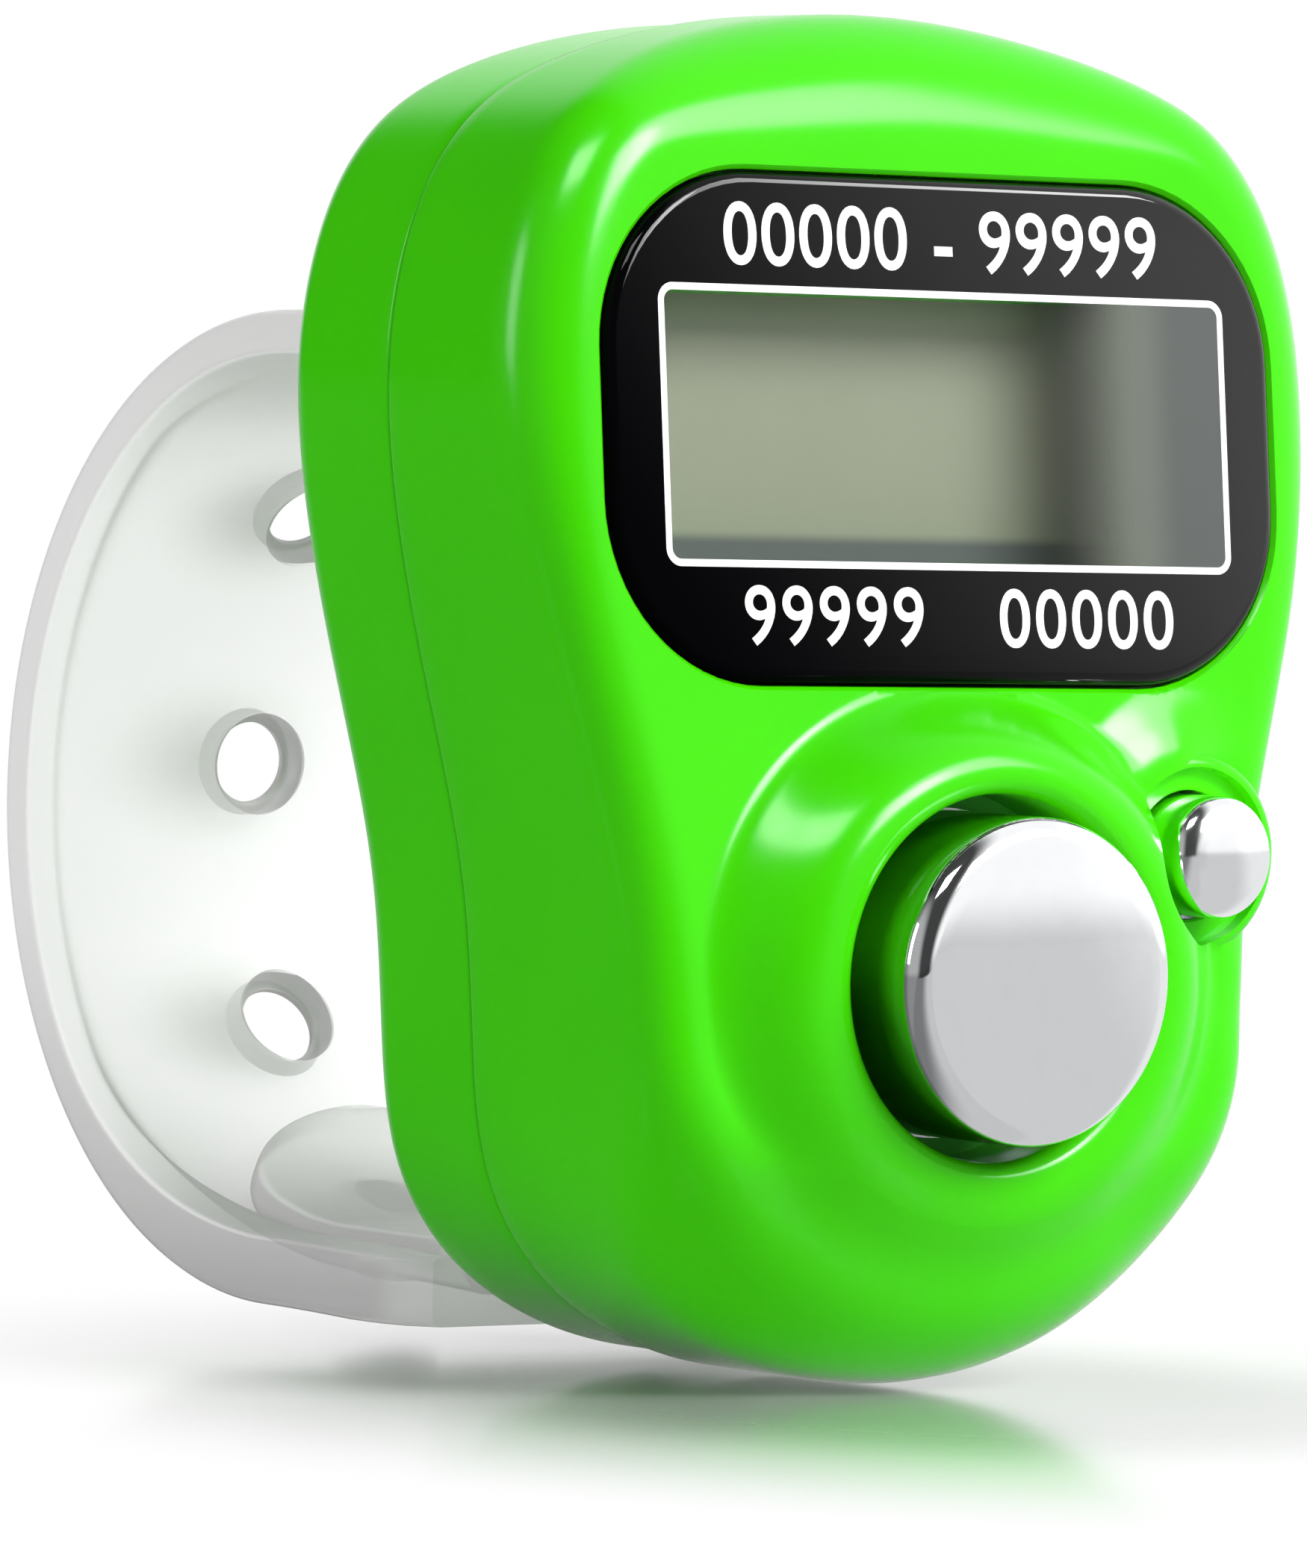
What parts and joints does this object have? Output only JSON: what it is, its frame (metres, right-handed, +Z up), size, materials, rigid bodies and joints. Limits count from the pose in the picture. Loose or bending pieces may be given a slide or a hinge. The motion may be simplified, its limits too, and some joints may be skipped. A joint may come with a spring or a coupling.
{
  "type": "digital finger tally counter",
  "caption": "Finger-ring tally counter: a rounded two-part case with a display window, a large count button in a raised collar, a small reset button and an adjusting strap.",
  "frame": {"origin": "middle of the case's flat back, which rests on the finger", "axes": "+X to the counter's left-hand side as worn, to the right in a front view; +Y backwards through the strap, out of the flat back; +Z up, towards the display's top"},
  "size_m": [0.028, 0.0403, 0.0386],
  "materials": {
    "case_green": "glossy lime green",
    "gloss_black": "glossy black",
    "display_glass": "clear",
    "reflector_grey": "grey-green film",
    "chrome": "mirror-bright plating",
    "screw_steel": "plain steel",
    "contact_brass": "plain",
    "strap_silicone": "translucent white silicone",
    "dome_rubber": "grey",
    "board_green": "green solder mask",
    "capacitor_brown": "brown"
  },
  "bodies": {
    "case": {"front_shell": "case_green", "rear_shell": "case_green", "window_lens": "gloss_black", "lcd_front_glass": "display_glass", "lcd_rear_glass": "display_glass", "lcd_reflector": "reflector_grey", "lcd_frame": "gloss_black", "zebra_connector": "dome_rubber", "count_dome": "dome_rubber", "reset_dome": "dome_rubber", "circuit_board": "board_green", "chip_cover": "gloss_black", "timing_capacitor": "capacitor_brown", "board_screw_left": "screw_steel", "board_screw_right": "screw_steel", "button_cell": "screw_steel", "cell_positive_contact": "contact_brass", "cell_negative_contact": "contact_brass", "battery_door": "case_green", "battery_door_screw": "screw_steel", "case_screw_upper_left": "screw_steel", "case_screw_upper_right": "screw_steel", "case_screw_lower_left": "screw_steel", "case_screw_lower_right": "screw_steel", "strap_band": "strap_silicone", "strap_tab": "strap_silicone"},
    "count_button": {"count_button": "chrome"},
    "reset_button": {"reset_button": "chrome"}
  },
  "joints": [
    {"name": "count_press", "type": "slide", "parent": "case", "child": "count_button", "axis": [0, 1, 0], "range_m": [0, 0.0009], "stiffness_N_per_m": 700, "springref_m": -0.0006, "deforming": ["count_dome"]},
    {"name": "reset_press", "type": "slide", "parent": "case", "child": "reset_button", "axis": [0, 1, 0], "range_m": [0, 0.0007], "stiffness_N_per_m": 700, "springref_m": -0.0006, "deforming": ["reset_dome"]}
  ]
}
